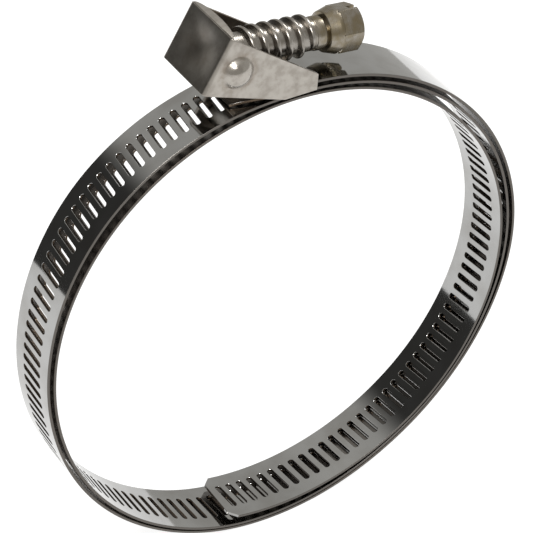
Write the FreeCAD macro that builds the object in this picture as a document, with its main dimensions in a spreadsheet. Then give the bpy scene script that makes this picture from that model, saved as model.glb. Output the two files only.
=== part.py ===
"""Quick-release worm-drive hose clamp, as a parametric document in millimetres.

Frame: the origin is the centre of the hose seat, +Y runs along the hose and +Z points
up through the housing.  A long perforated band is wound into a coil of two and a half
turns.  Its plain outer end, the tongue, is welded into a folded sheet housing.  A swivel
block hangs between the two pressed domes of the housing and carries the worm screw,
which swings up to release the band and turns in the block to tighten it.
"""

import FreeCAD, Part
import math
import os

import Sketcher
from FreeCAD import Placement, Rotation, Vector

DRIVING_SIZES = (
    # the band and the way it is wound
    ("band_width", 12.7),
    ("band_sheet", 0.55),
    ("seat_radius", 49.4),
    ("layer_play", 0.12),
    ("tongue_layers", 3.6),
    ("tail_chamfer", 1.8),
    ("tongue_taper", 3.0),
    ("slot_pitch", 2.494),
    ("slot_length", 6.8),
    ("slot_width", 1.25),
    ("slot_slant", 5.0),
    ("tail_margin", 2.45),
    # the folded housing
    ("housing_sheet", 0.7),
    ("side_play", 0.4),
    ("weld_gap", 0.02),
    ("strap_seam", 0.6),
    ("brow_offset", 12.5),
    ("brow_height", 15.2),
    ("foot_offset", 18.6),
    ("foot_height", 5.4),
    ("heel_height", 0.6),
    ("cheek_end_height", 2.1),
    ("lip_depth", 1.7),
    ("bend_radius", 0.9),
    ("dome_radius", 3.4),
    ("dome_rise", 2.0),
    ("dome_sheet", 0.6),
    # the pivot of the swivel block and the lean of the screw below the level
    ("pivot_offset", 11.5),
    ("pivot_height", 7.95),
    ("screw_lean", 7.7),
    ("running_play", 0.05),
    ("end_play", 0.1),
    # the swivel block, the washer and the worm screw
    ("block_flat", 2.3),
    ("block_waist", 4.4),
    ("journal_radius", 1.8),
    ("washer_sheet", 0.6),
    ("washer_radius", 2.6),
    ("rivet_radius", 2.3),
    ("rivet_height", 0.6),
    ("thread_radius", 3.95),
    ("thread_depth", 0.9),
    ("thread_crest", 0.7),
    ("thread_flank", 0.35),
    ("thread_start", 4.0),
    ("thread_end", 19.5),
    ("neck_radius", 3.2),
    ("neck_end", 21.35),
    ("groove_radius", 3.0),
    ("groove_width", 0.45),
    ("nose_radius", 3.85),
    ("collar_radius", 4.45),
    ("collar_cone", 2.0),
    ("collar_length", 2.8),
    ("hex_flats", 8.0),
    ("hex_length", 4.25),
    ("hex_chamfer", 0.7),
    ("driver_slot_width", 1.2),
    ("driver_slot_depth", 1.9),
)

# Angles of the wound band in degrees, counted on along the band from the tail, which
# lies on the innermost turn, to the end of the tongue two and a half turns later.
TAIL_ANGLE = -105.5
SEAT_END_ANGLE = 100.0
TONGUE_START_ANGLE = 770.0
TAPER_START_ANGLE = 815.0
TONGUE_END_ANGLE = 822.5
LAST_SLOT_ANGLE = 722.0

# How far the hexagon is turned about the screw's axis, in degrees.
HEX_TURN = 16.0

# The coil between the innermost turn and the tongue: angle of each station and its lift
# in band layers.  The band springs out in three lobes, so that its turns touch in some
# places and gape in others.
COIL_STATIONS = (
    (130, 0.8), (160, 1.0), (190, 0.85), (215, 1.5), (235, 2.35), (255, 3.0),
    (275, 2.3), (300, 1.15), (320, 1.0), (340, 1.1), (360, 1.6), (380, 1.9),
    (415, 1.65), (440, 1.4), (452, 1.5), (465, 2.6), (480, 3.85), (495, 4.4),
    (510, 4.0), (530, 3.05), (550, 2.65), (570, 2.95), (590, 3.5), (613, 4.1),
    (635, 3.5), (660, 2.3), (680, 2.05), (700, 2.65), (720, 3.6), (742, 3.75),
)

# The strap that wraps the tongue, in degrees on the ring's own circle.
STRAP_START_ANGLE = 84.5
STRAP_END_ANGLE = 92.0
HEEL_ANGLE = 96.0

CUTTER_MARGIN = 0.05
CLEARING = 30.0
THREAD_ROOT_BITE = 0.08
HEX_SIDES = 6

TONGUE_OUTSIDE = ("(Sizes.seat_radius + Sizes.band_sheet"
                  " + Sizes.tongue_layers * (Sizes.band_sheet + Sizes.layer_play))")
STRAP_TOP = "(%s - Sizes.band_sheet - Sizes.weld_gap)" % TONGUE_OUTSIDE
STRAP_BOTTOM = "(%s - Sizes.housing_sheet)" % STRAP_TOP
INSIDE_WIDTH = "(Sizes.band_width + 2 * Sizes.side_play)"
OUTSIDE_WIDTH = "(%s + 2 * Sizes.housing_sheet)" % INSIDE_WIDTH
PIVOT_X = "(-Sizes.pivot_offset)"
PIVOT_Z = "(%s + Sizes.pivot_height)" % TONGUE_OUTSIDE
DOME_CENTRE = "(%s / 2 + Sizes.dome_rise - Sizes.dome_radius)" % OUTSIDE_WIDTH
BALL_RADIUS = "(Sizes.dome_radius - Sizes.dome_sheet - Sizes.running_play)"
THREAD_ROOT = "(Sizes.thread_radius - Sizes.thread_depth)"
SHOULDER = "(Sizes.block_flat + Sizes.end_play)"
COLLAR_START = "(Sizes.neck_end + Sizes.groove_width)"
COLLAR_END = "(%s + Sizes.collar_length)" % COLLAR_START
HEAD_END = "(%s + Sizes.hex_length)" % COLLAR_END
HEX_CORNER = "(Sizes.hex_flats / 2 / cos(30))"


def make_sheet(doc):
    """Writes the driving sizes to a spreadsheet and returns it."""
    sheet = doc.addObject("Spreadsheet::Sheet", "Sizes")
    for row, (alias, value) in enumerate(DRIVING_SIZES, start=1):
        sheet.set("A%d" % row, alias)
        sheet.set("B%d" % row, str(value))
        sheet.setAlias("B%d" % row, alias)
    doc.recompute()
    return sheet


def value_of(sheet, expression):
    """Works out an expression on the sheet's sizes as a plain number."""
    return float(sheet.evalExpression(expression))


def at(radius, angle):
    """Returns the point of the coil's plane at a radius and an angle in degrees."""
    turn = math.radians(angle)
    return Vector(radius * math.cos(turn), radius * math.sin(turn), 0)


def raised(point, depth=0.0):
    """Carries a point of the coil's plane into the clamp's frame, at a place along Y."""
    return Vector(point.x, depth, point.y)


def new_sketch(body, role, name):
    """Adds a sketch to a body, on the origin plane that has the given role."""
    sketch = body.newObject("Sketcher::SketchObject", name)
    plane = next(plane for plane in body.Origin.OriginFeatures if plane.Role == role)
    sketch.AttachmentSupport = (plane, "")
    sketch.MapMode = "FlatFace"
    return sketch


def bind_point(sketch, edge, end, place):
    """Ties one end of a sketch edge to a place given by two expressions."""
    for kind, expression in zip(("DistanceX", "DistanceY"), place):
        start_value = sketch.evalExpression(expression)
        rule = Sketcher.Constraint(kind, -1, 1, edge, end, float(start_value))
        sketch.setExpression("Constraints[%d]" % sketch.addConstraint(rule), expression)


def bound_polygon(sketch, places):
    """Draws a closed polygon whose corners are tied to expressions on the sheet."""
    corners = [Vector(*(float(sketch.evalExpression(part)) for part in place), 0)
               for place in places]
    following = corners[1:] + corners[:1]
    edges = [sketch.addGeometry(Part.LineSegment(start, end), False)
             for start, end in zip(corners, following)]
    for edge, after in zip(edges, edges[1:] + edges[:1]):
        sketch.addConstraint(Sketcher.Constraint("Coincident", edge, 2, after, 1))
    for edge, place in zip(edges, places):
        bind_point(sketch, edge, 1, place)
    return edges


def bound_circle(sketch, radius, centre=("0", "0")):
    """Draws a circle whose radius and centre are tied to expressions on the sheet."""
    middle = Vector(*(float(sketch.evalExpression(part)) for part in centre), 0)
    start_radius = float(sketch.evalExpression(radius))
    circle = sketch.addGeometry(Part.Circle(middle, Vector(0, 0, 1), start_radius), False)
    rule = sketch.addConstraint(Sketcher.Constraint("Radius", circle, start_radius))
    sketch.setExpression("Constraints[%d]" % rule, radius)
    bind_point(sketch, circle, 3, centre)
    return circle


def add_pad(body, sketch, name, length, midplane=False, offset_up=None):
    """Pads a sketch, to both sides where it is a midplane."""
    pad = body.newObject("PartDesign::Pad", name)
    pad.Profile = sketch
    pad.SideType = "Symmetric" if midplane else "One side"
    pad.setExpression("Length", length)
    if offset_up is not None:
        sketch.setExpression("AttachmentOffset.Base.z", offset_up)
    return pad


def add_pocket(body, sketch, name, length, midplane=False, reverse=False):
    """Pockets a sketch and makes sure that it takes material away."""
    body.Document.recompute()
    before = body.Shape.Volume
    pocket = body.newObject("PartDesign::Pocket", name)
    pocket.Profile = sketch
    pocket.SideType = "Symmetric" if midplane else "One side"
    pocket.setExpression("Length", length)
    pocket.Reversed = reverse
    body.Document.recompute()
    if body.Shape.Volume > before - 1e-3:
        raise RuntimeError("%s cuts nothing" % name)
    return pocket


# ---------------------------------------------------------------- the band

def coil_middle(sizes, layers):
    """Returns the middle radius of the band where it lies a number of layers up."""
    step = sizes.band_sheet + sizes.layer_play
    return sizes.seat_radius + sizes.band_sheet / 2 + layers * step


def coil_tangents(points):
    """Returns the direction of the band at each station of the coil."""
    tangents = [at(1, SEAT_END_ANGLE + 90)]
    for before, point, after in zip(points, points[1:], points[2:]):
        came, goes = point - before, after - point
        share = came.Length / goes.Length
        tangents.append((came / share + goes * share).normalize())
    return tangents + [at(1, TONGUE_START_ANGLE + 90)]


def tangent_arc(start, direction, end):
    """Returns the start, middle and end of the arc that leaves start in a direction."""
    chord = end - start
    along = Vector(chord).normalize()
    aside = direction - along * direction.dot(along)
    turn = math.atan2(aside.Length, direction.dot(along))
    rise = chord.Length / 2 * math.tan(turn / 2)
    return start, (start + end) / 2 + aside.normalize() * rise, end


def arc_pair(start, leaving, end, arriving):
    """Returns the two arcs that join two stations and keep both their directions."""
    chord = end - start
    reach = chord.dot(leaving + arriving)
    spread = 2 * (1 - leaving.dot(arriving))
    arm = (math.sqrt(reach ** 2 + spread * chord.dot(chord)) - reach) / spread
    joint = (start + end + (leaving - arriving) * arm) / 2
    first = tangent_arc(start, leaving, joint)
    last = tangent_arc(end, arriving * -1, joint)
    return [first, tuple(reversed(last))]


def ring_arc(radius, start_angle, end_angle):
    """Returns the start, middle and end of an arc about the clamp's axis."""
    angles = (start_angle, (start_angle + end_angle) / 2, end_angle)
    return tuple(at(radius, angle) for angle in angles)


def coil_arcs(sizes, tail_cut=0.0):
    """Returns the arcs of the band's middle, from the tail to the end of the tongue."""
    stations = ((SEAT_END_ANGLE, 0),) + COIL_STATIONS
    stations += ((TONGUE_START_ANGLE, sizes.tongue_layers),)
    points = [at(coil_middle(sizes, layers), angle) for angle, layers in stations]
    tangents = coil_tangents(points)
    start_angle = TAIL_ANGLE + math.degrees(tail_cut / coil_middle(sizes, 0))
    arcs = [ring_arc(coil_middle(sizes, 0), start_angle, SEAT_END_ANGLE)]
    for pair in zip(points, tangents, points[1:], tangents[1:]):
        arcs += arc_pair(*pair)
    arcs.append(ring_arc(coil_middle(sizes, sizes.tongue_layers),
                         TONGUE_START_ANGLE, TONGUE_END_ANGLE))
    return arcs


def shifted_arc(arc, shift):
    """Returns an arc of the band's middle, moved outwards about its own centre."""
    centre = Part.Arc(*arc).toShape().Curve.Center
    return Part.Arc(*(point + (point - centre).normalize() * shift for point in arc))


def draw_band_profile(sketch, sizes):
    """Draws the edge-on view of the wound band, whose two faces are chains of arcs."""
    half = sizes.band_sheet / 2
    arcs = coil_arcs(sizes)
    seat = "Sizes.seat_radius + Sizes.band_sheet"
    for shift in (-half, half):
        for arc in arcs:
            sketch.addGeometry(shifted_arc(arc, shift), False)
    for layers, angle in ((0, TAIL_ANGLE), (sizes.tongue_layers, TONGUE_END_ANGLE)):
        middle = coil_middle(sizes, layers)
        sketch.addGeometry(Part.LineSegment(at(middle - half, angle),
                                            at(middle + half, angle)), False)
    for edge, radius in ((0, "Sizes.seat_radius"), (len(arcs), seat),
                         (2 * len(arcs) - 1, TONGUE_OUTSIDE)):
        sketch.addConstraint(Sketcher.Constraint("Coincident", edge, 3, -1, 1))
        start_radius = float(sketch.evalExpression(radius))
        rule = sketch.addConstraint(Sketcher.Constraint("Radius", edge, start_radius))
        sketch.setExpression("Constraints[%d]" % rule, radius)


def slot_cutter(sizes):
    """Returns the cutter of one slanted slot: X along the band, Z out through it."""
    depth = sizes.band_sheet + 2 * CUTTER_MARGIN
    radius = sizes.slot_width / 2
    reach = sizes.slot_length / 2 - radius
    ends = [Part.makeCylinder(radius, depth, Vector(0, place, -depth / 2))
            for place in (-reach, reach)]
    middle = Part.makeBox(sizes.slot_width, 2 * reach, depth,
                          Vector(-radius, -reach, -depth / 2))
    cutter = middle.multiFuse(ends).removeSplitter()
    cutter.rotate(Vector(0, 0, 0), Vector(0, 0, 1), -sizes.slot_slant)
    return cutter


def slot_places(sizes):
    """Returns where the slots lie along the middle of the band, one pitch apart."""
    arcs = coil_arcs(sizes, tail_cut=sizes.tail_margin)
    middle = Part.Wire([Part.Arc(*arc).toShape() for arc in arcs])
    return middle.discretize(Distance=sizes.slot_pitch)


def unwound_angles(points):
    """Returns the angle of each point, counted on past full turns."""
    angles = []
    for point in points:
        angle = math.degrees(math.atan2(point.y, point.x))
        while angles and angle < angles[-1] - 180:
            angle += 360
        angles.append(angle)
    return angles


def slot_cutters(sizes):
    """Returns the cutters of every slot, each square to the band where it lies."""
    points = slot_places(sizes)
    angles = unwound_angles(points)
    pattern = slot_cutter(sizes)
    cutters = []
    for before, point, after, angle in zip(points, points[1:], points[2:], angles[1:]):
        if angle > LAST_SLOT_ANGLE:
            break
        along = after - before
        facing = math.degrees(math.atan2(along.y, along.x)) - 90
        cutter = pattern.copy()
        cutter.Placement = Placement(raised(point), Rotation(Vector(0, 1, 0), 90 - facing))
        cutters.append(cutter)
    first = pattern.copy()
    first.Placement = Placement(raised(points[0]), Rotation(Vector(0, 1, 0), 90 - angles[0]))
    return cutters + [first]


def tail_cutters(sizes):
    """Returns the two cutters that chamfer the corners of the tail."""
    depth = sizes.band_sheet + 2 * CUTTER_MARGIN
    side = sizes.tail_chamfer * math.sqrt(2)
    place = raised(at(coil_middle(sizes, 0), TAIL_ANGLE))
    cutters = []
    for edge in (-sizes.band_width / 2, sizes.band_width / 2):
        cutter = Part.makeBox(side, side, depth, Vector(-side / 2, -side / 2, -depth / 2))
        cutter.rotate(Vector(0, 0, 0), Vector(0, 0, 1), 45)
        cutter.Placement = Placement(place + Vector(0, edge, 0),
                                     Rotation(Vector(0, 1, 0), 90 - TAIL_ANGLE))
        cutters.append(cutter)
    return cutters


def tongue_cutters(sizes):
    """Returns the two cutters that taper the end of the tongue."""
    middle = coil_middle(sizes, sizes.tongue_layers)
    inner = middle - sizes.band_sheet / 2 - CUTTER_MARGIN
    outer = middle + sizes.band_sheet / 2 + CUTTER_MARGIN
    half = sizes.band_width / 2
    span = 2 * sizes.band_width
    axis = Vector(0, 1, 0)
    side_face = Vector(0, -span / 2, 0)
    ring = Part.makeCylinder(outer, span, side_face, axis).cut(
        Part.makeCylinder(inner, span, side_face, axis))
    root = raised(at(middle, TAPER_START_ANGLE)).x
    tip = raised(at(middle, TONGUE_END_ANGLE + 1)).x
    cutters = []
    for side in (-1, 1):
        start = Vector(root, side * half, 0)
        loop = [start, Vector(tip, side * (half - sizes.tongue_taper), 0),
                Vector(tip, side * span / 2, 0), Vector(root, side * span / 2, 0), start]
        prism = Part.Face(Part.makePolygon(loop)).extrude(Vector(0, 0, 2 * outer))
        cutters.append(prism.common(ring))
    return cutters


def make_band(doc, sizes):
    """Builds the wound, slotted band and returns it."""
    body = doc.addObject("PartDesign::Body", "BandBlank")
    sketch = new_sketch(body, "XZ_Plane", "BandProfile")
    draw_band_profile(sketch, sizes)
    add_pad(body, sketch, "BandPad", "Sizes.band_width", midplane=True)
    cutters = doc.addObject("Part::Feature", "BandCutters")
    cutters.Shape = Part.makeCompound(
        slot_cutters(sizes) + tail_cutters(sizes) + tongue_cutters(sizes))
    band = doc.addObject("Part::Cut", "Band")
    band.Base = body
    band.Tool = cutters
    band.Label = "band"
    return band


# ---------------------------------------------------------------- the housing

def ring_place(radius, angle):
    """Returns the expressions of a place on the ring, at a radius and an angle."""
    return "%s * cos(%s)" % (radius, angle), "%s * sin(%s)" % (radius, angle)


def housing_outline():
    """Returns the corners of the housing's side view."""
    heel = "(%s + Sizes.heel_height)" % TONGUE_OUTSIDE
    cheek_end = "(%s + Sizes.cheek_end_height)" % TONGUE_OUTSIDE
    strap_middle = (STRAP_START_ANGLE + STRAP_END_ANGLE) / 2
    return [
        ("-Sizes.brow_offset", "%s + Sizes.brow_height" % TONGUE_OUTSIDE),
        ring_place(cheek_end, STRAP_START_ANGLE),
        ring_place(STRAP_BOTTOM, STRAP_START_ANGLE),
        ring_place(STRAP_BOTTOM, strap_middle),
        ring_place(STRAP_BOTTOM, STRAP_END_ANGLE),
        ring_place(heel, HEEL_ANGLE),
        ("-Sizes.foot_offset", "%s + Sizes.foot_height" % TONGUE_OUTSIDE),
    ]


def inside_outline(sizes):
    """Returns the corners of the room between the cheeks, behind the web."""
    top = value_of(sizes, TONGUE_OUTSIDE)
    brow = Vector(-sizes.brow_offset, top + sizes.brow_height, 0)
    foot = Vector(-sizes.foot_offset, top + sizes.foot_height, 0)
    down = (foot - brow).normalize()
    inwards = Vector(-down.y, down.x, 0)
    above = brow + inwards * sizes.housing_sheet - down * CLEARING
    below = foot + inwards * sizes.housing_sheet + down * sizes.foot_height / 2
    return [(str(corner.x), str(corner.y)) for corner in (above, below)] + [
        ring_place(STRAP_TOP, HEEL_ANGLE),
        ring_place(STRAP_TOP, (STRAP_START_ANGLE + STRAP_END_ANGLE) / 2),
        ring_place(STRAP_TOP, STRAP_START_ANGLE - 4),
        (str(CLEARING), str(top + CLEARING)),
    ]


def add_dome(body, kind, name, side, radius):
    """Adds or takes away the ball of one pivot dome, on the side given by a sign."""
    ball = body.newObject("PartDesign::%sSphere" % kind, name)
    ball.setExpression("Radius", radius)
    ball.setExpression("Placement.Base.x", PIVOT_X)
    ball.setExpression("Placement.Base.y", "%s %s" % (side, DOME_CENTRE))
    ball.setExpression("Placement.Base.z", PIVOT_Z)


def add_lip(body):
    """Adds the half-moon lip that folds in from the top of the web."""
    sketch = new_sketch(body, "XY_Plane", "LipProfile")
    edge_x = "-Sizes.brow_offset + Sizes.housing_sheet / 3"
    tip_x = "-Sizes.brow_offset + Sizes.lip_depth"
    steps = 8
    reach = "(%s / 2 + Sizes.side_play)" % INSIDE_WIDTH
    places = []
    for step in range(steps + 1):
        turn = "(%s)" % (180.0 * step / steps - 90)
        places.append(("%s + (%s - (%s)) * cos(%s)" % (edge_x, tip_x, edge_x, turn),
                       "%s * sin(%s)" % (reach, turn)))
    bound_polygon(sketch, places)
    add_pad(body, sketch, "Lip", "Sizes.housing_sheet",
            offset_up="%s + Sizes.brow_height - Sizes.housing_sheet" % TONGUE_OUTSIDE)


def bend_edges(shape, sizes):
    """Returns the names of the two edges where the web turns into the cheeks."""
    top = value_of(sizes, TONGUE_OUTSIDE)
    half = value_of(sizes, OUTSIDE_WIDTH) / 2
    brow = Vector(-sizes.brow_offset, 0, top + sizes.brow_height)
    foot = Vector(-sizes.foot_offset, 0, top + sizes.foot_height)
    middle = (brow + foot) / 2
    names = []
    for number, edge in enumerate(shape.Edges, start=1):
        centre = edge.CenterOfMass
        flat = Vector(centre.x, 0, centre.z)
        if abs(abs(centre.y) - half) < 1e-3 and flat.distanceToPoint(middle) < 1.0:
            names.append("Edge%d" % number)
    return names


def make_housing(doc, sizes):
    """Builds the folded housing: web, two cheeks with domes, lip and strap."""
    body = doc.addObject("PartDesign::Body", "Housing")
    body.Label = "housing"
    side_view = new_sketch(body, "XZ_Plane", "HousingProfile")
    bound_polygon(side_view, housing_outline())
    block = add_pad(body, side_view, "HousingPad", OUTSIDE_WIDTH, midplane=True)
    doc.recompute()
    bends = body.newObject("PartDesign::Fillet", "Bends")
    bends.Base = (block, bend_edges(block.Shape, sizes))
    bends.setExpression("Radius", "Sizes.bend_radius")
    for name, side in (("DomeFront", "-"), ("DomeBack", "+")):
        add_dome(body, "Additive", name, side, "Sizes.dome_radius")
    inside = new_sketch(body, "XZ_Plane", "InsideProfile")
    bound_polygon(inside, inside_outline(sizes))
    add_pocket(body, inside, "Inside", INSIDE_WIDTH, midplane=True)
    for name, side in (("HollowFront", "-"), ("HollowBack", "+")):
        add_dome(body, "Subtractive", name, side, "Sizes.dome_radius - Sizes.dome_sheet")
    add_lip(body)
    seam = new_sketch(body, "XZ_Plane", "SeamProfile")
    bound_polygon(seam, [ring_place("(%s - 1)" % STRAP_BOTTOM, STRAP_END_ANGLE + 2),
                         ring_place("(%s - 1)" % STRAP_BOTTOM, STRAP_START_ANGLE - 2),
                         ring_place("(%s + 0.4)" % STRAP_TOP, STRAP_START_ANGLE - 2),
                         ring_place("(%s + 0.4)" % STRAP_TOP, STRAP_END_ANGLE + 2)])
    add_pocket(body, seam, "StrapSeam", "Sizes.strap_seam", midplane=True)
    return body


# ---------------------------------------------------------------- the moving pieces

def swing_into_place(piece):
    """Sets a piece, made with the screw's axis up, on the pivot along the screw."""
    piece.setExpression("Placement.Base.x", PIVOT_X)
    piece.setExpression("Placement.Base.z", PIVOT_Z)
    piece.Placement = Placement(Vector(0, 0, 0), Rotation(Vector(0, 1, 0), 90))
    piece.setExpression("Placement.Rotation.Angle", "90 + Sizes.screw_lean")


def new_primitive(doc, kind, name, sizes, base=("0", "0", "0")):
    """Makes a Part primitive with its sizes and place bound to expressions."""
    piece = doc.addObject("Part::%s" % kind, name)
    for field, expression in sizes.items():
        piece.setExpression(field, expression)
    for axis, expression in zip("xyz", base):
        piece.setExpression("Placement.Base.%s" % axis, expression)
    return piece


def make_swivel_block(doc):
    """Builds the round block with ball ends that turns in the housing's domes."""
    barrel = new_primitive(doc, "Cylinder", "Barrel",
                           {"Radius": BALL_RADIUS, "Height": "2 * %s" % DOME_CENTRE})
    barrel.Placement = Placement(Vector(0, 0, 0), Rotation(Vector(1, 0, 0), -90))
    barrel.setExpression("Placement.Base.y", "-%s" % DOME_CENTRE)
    balls = [new_primitive(doc, "Sphere", name, {"Radius": BALL_RADIUS},
                           ("0", "%s %s" % (side, DOME_CENTRE), "0"))
             for name, side in (("BallFront", "-"), ("BallBack", "+"))]
    solid = doc.addObject("Part::MultiFuse", "BlockBlank")
    solid.Shapes = [barrel] + balls
    width = "2 * %s" % BALL_RADIUS
    flats = [new_primitive(doc, "Box", name,
                           {"Length": width, "Width": "2 * Sizes.block_waist",
                            "Height": "Sizes.block_flat"},
                           ("-%s" % BALL_RADIUS, "-Sizes.block_waist", low))
             for name, low in (("FlatAbove", "Sizes.block_flat"),
                               ("FlatBelow", "-2 * Sizes.block_flat"))]
    bore = new_primitive(doc, "Cylinder", "JournalBore",
                         {"Radius": "Sizes.journal_radius + Sizes.running_play",
                          "Height": "4 * Sizes.block_flat"},
                         ("0", "0", "-2 * Sizes.block_flat"))
    cuts = doc.addObject("Part::MultiFuse", "BlockCuts")
    cuts.Shapes = flats + [bore]
    block = doc.addObject("Part::Cut", "SwivelBlock")
    block.Base = solid
    block.Tool = cuts
    block.Label = "swivel_block"
    swing_into_place(block)
    return block


def screw_outline():
    """Returns the turned outline of the screw: radius first, then height on its axis."""
    washer_end = "(-%s - Sizes.washer_sheet)" % SHOULDER
    tail = "(%s - Sizes.rivet_height)" % washer_end
    chamfered = "(%s - Sizes.hex_chamfer)" % HEX_CORNER
    return [
        ("0", tail),
        ("Sizes.rivet_radius * 0.7", tail),
        ("Sizes.rivet_radius", "%s + Sizes.rivet_height / 2" % tail),
        ("Sizes.rivet_radius", washer_end),
        ("Sizes.journal_radius", washer_end),
        ("Sizes.journal_radius", SHOULDER),
        (THREAD_ROOT, SHOULDER),
        (THREAD_ROOT, "Sizes.thread_end"),
        ("Sizes.neck_radius", "Sizes.thread_end + Sizes.neck_radius - %s" % THREAD_ROOT),
        ("Sizes.neck_radius", "Sizes.neck_end"),
        ("Sizes.groove_radius", "Sizes.neck_end"),
        ("Sizes.groove_radius", COLLAR_START),
        ("Sizes.nose_radius", COLLAR_START),
        ("Sizes.collar_radius", "%s + Sizes.collar_cone" % COLLAR_START),
        ("Sizes.collar_radius", COLLAR_END),
        (HEX_CORNER, COLLAR_END),
        (HEX_CORNER, "%s - Sizes.hex_chamfer * 0.7" % HEAD_END),
        (chamfered, HEAD_END),
        ("0", HEAD_END),
    ]


def make_screw_core(doc):
    """Builds the turned screw with its slotted hexagon head, axis up."""
    body = doc.addObject("PartDesign::Body", "ScrewCore")
    outline = new_sketch(body, "XZ_Plane", "ScrewOutline")
    bound_polygon(outline, screw_outline())
    turned = body.newObject("PartDesign::Revolution", "Turned")
    turned.Profile = outline
    turned.ReferenceAxis = (outline, ["V_Axis"])
    turned.Angle = 360.0
    flats = new_sketch(body, "XY_Plane", "HexProfile")
    flats.setExpression("AttachmentOffset.Base.z", HEAD_END)
    bound_circle(flats, "2 * Sizes.hex_flats")
    corners = [HEX_TURN + 360.0 * side / HEX_SIDES for side in range(HEX_SIDES)]
    bound_polygon(flats, [("%s * cos(%s)" % (HEX_CORNER, turn),
                           "%s * sin(%s)" % (HEX_CORNER, turn)) for turn in corners])
    add_pocket(body, flats, "HexFlats", "Sizes.hex_length")
    slot = new_sketch(body, "XY_Plane", "DriverSlot")
    slot.setExpression("AttachmentOffset.Base.z", HEAD_END)
    across = "Sizes.driver_slot_width / 2"
    along = "Sizes.hex_flats"
    bound_polygon(slot, [("-" + along, "-" + across), (along, "-" + across),
                         (along, across), ("-" + along, across)])
    add_pocket(body, slot, "SlotCut", "Sizes.driver_slot_depth")
    return body


def make_thread(doc):
    """Builds the worm's thread as a ridge swept along a helix."""
    helix = doc.addObject("Part::Helix", "ThreadLine")
    helix.setExpression("Pitch", "Sizes.slot_pitch")
    helix.setExpression("Height", "Sizes.thread_end - Sizes.thread_start"
                                  " - Sizes.slot_pitch / 3")
    helix.setExpression("Radius", THREAD_ROOT)
    helix.setExpression("Placement.Base.z", "Sizes.thread_start")
    ridge = doc.addObject("Sketcher::SketchObject", "RidgeProfile")
    ridge.Placement = Placement(Vector(0, 0, 0), Rotation(Vector(1, 0, 0), 90))
    ridge.setExpression("Placement.Base.z", "Sizes.thread_start")
    root = "%s - %s" % (THREAD_ROOT, THREAD_ROOT_BITE)
    wide = "(Sizes.thread_crest / 2 + Sizes.thread_flank)"
    narrow = "(Sizes.thread_crest / 2)"
    bound_polygon(ridge, [(root, "-" + wide), ("Sizes.thread_radius", "-" + narrow),
                          ("Sizes.thread_radius", narrow), (root, wide)])
    thread = doc.addObject("Part::Sweep", "Thread")
    thread.Sections = [ridge]
    thread.Spine = (helix, [])
    thread.Solid = True
    thread.Frenet = True
    return thread


def make_worm_screw(doc):
    """Builds the worm screw from its turned core and its thread."""
    screw = doc.addObject("Part::Fuse", "WormScrew")
    screw.Base = make_screw_core(doc)
    screw.Tool = make_thread(doc)
    screw.Label = "worm_screw"
    swing_into_place(screw)
    return screw


def make_washer(doc):
    """Builds the washer that the riveted tail of the screw holds against the block."""
    height = "Sizes.washer_sheet"
    low = "-%s - Sizes.washer_sheet" % SHOULDER
    disc = new_primitive(doc, "Cylinder", "WasherDisc",
                         {"Radius": "Sizes.washer_radius", "Height": height}, ("0", "0", low))
    hole = new_primitive(doc, "Cylinder", "WasherHole",
                         {"Radius": "Sizes.journal_radius + Sizes.running_play",
                          "Height": "3 * %s" % height},
                         ("0", "0", "%s - %s" % (low, height)))
    washer = doc.addObject("Part::Cut", "Washer")
    washer.Base = disc
    washer.Tool = hole
    washer.Label = "retaining_washer"
    swing_into_place(washer)
    return washer


# ---------------------------------------------------------------- the whole clamp

def check(doc, pieces):
    """Stops where an object failed or a piece isn't one valid solid."""
    failed = [thing.Name for thing in doc.Objects
              if {"Invalid", "Error"} & set(thing.State)]
    if failed:
        raise RuntimeError("failed: %s" % ", ".join(failed))
    for piece in pieces:
        if piece.Shape.isNull() or not piece.Shape.isValid() or not piece.Shape.Solids:
            raise RuntimeError("%s has no valid solid" % piece.Label)


def main():
    """Builds the clamp and writes each piece to its own file."""
    doc = FreeCAD.newDocument("HoseClamp")
    sizes = make_sheet(doc)
    pieces = [make_band(doc, sizes), make_housing(doc, sizes), make_swivel_block(doc),
              make_worm_screw(doc), make_washer(doc)]
    doc.recompute()
    check(doc, pieces)
    os.makedirs("parts", exist_ok=True)
    for piece in pieces:
        piece.Shape.exportStep(os.path.join("parts", piece.Label + ".step"))
        print("%-18s %d solid, %.1f mm3" % (piece.Label, len(piece.Shape.Solids),
                                            piece.Shape.Volume))


main()
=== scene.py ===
"""Looks of a quick-release hose clamp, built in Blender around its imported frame.

The wound strip, the folded housing and the worm screw are modelled afresh at the
frame's own places and sizes.  The two small pieces that hold the screw are the frame's
own shapes with softened edges.  Sizes are in millimetres until a piece is finished.
The finishes, the floor, the lamps and the camera are in metres, but for the floor's height.
"""

import bisect
import logging
import math
from dataclasses import dataclass, field
from enum import Enum

import bmesh
import bpy
from mathutils import Matrix, Vector

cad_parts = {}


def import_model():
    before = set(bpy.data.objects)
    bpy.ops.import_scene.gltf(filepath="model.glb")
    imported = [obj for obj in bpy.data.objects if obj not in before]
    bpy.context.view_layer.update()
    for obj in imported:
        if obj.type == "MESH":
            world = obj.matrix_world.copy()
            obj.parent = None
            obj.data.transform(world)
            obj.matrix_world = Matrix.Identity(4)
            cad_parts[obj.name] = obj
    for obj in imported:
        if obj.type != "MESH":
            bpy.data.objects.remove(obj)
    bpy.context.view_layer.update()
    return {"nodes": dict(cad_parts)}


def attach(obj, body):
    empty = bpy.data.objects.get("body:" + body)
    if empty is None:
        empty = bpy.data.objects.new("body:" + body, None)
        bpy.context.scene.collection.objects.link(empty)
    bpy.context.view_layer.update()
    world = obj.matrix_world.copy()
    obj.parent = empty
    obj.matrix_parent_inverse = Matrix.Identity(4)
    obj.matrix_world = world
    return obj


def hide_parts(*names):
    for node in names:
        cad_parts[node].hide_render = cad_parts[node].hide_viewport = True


MM = 0.001
PIVOT = (-11.5, 60.312)
LEAN = 7.7
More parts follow.
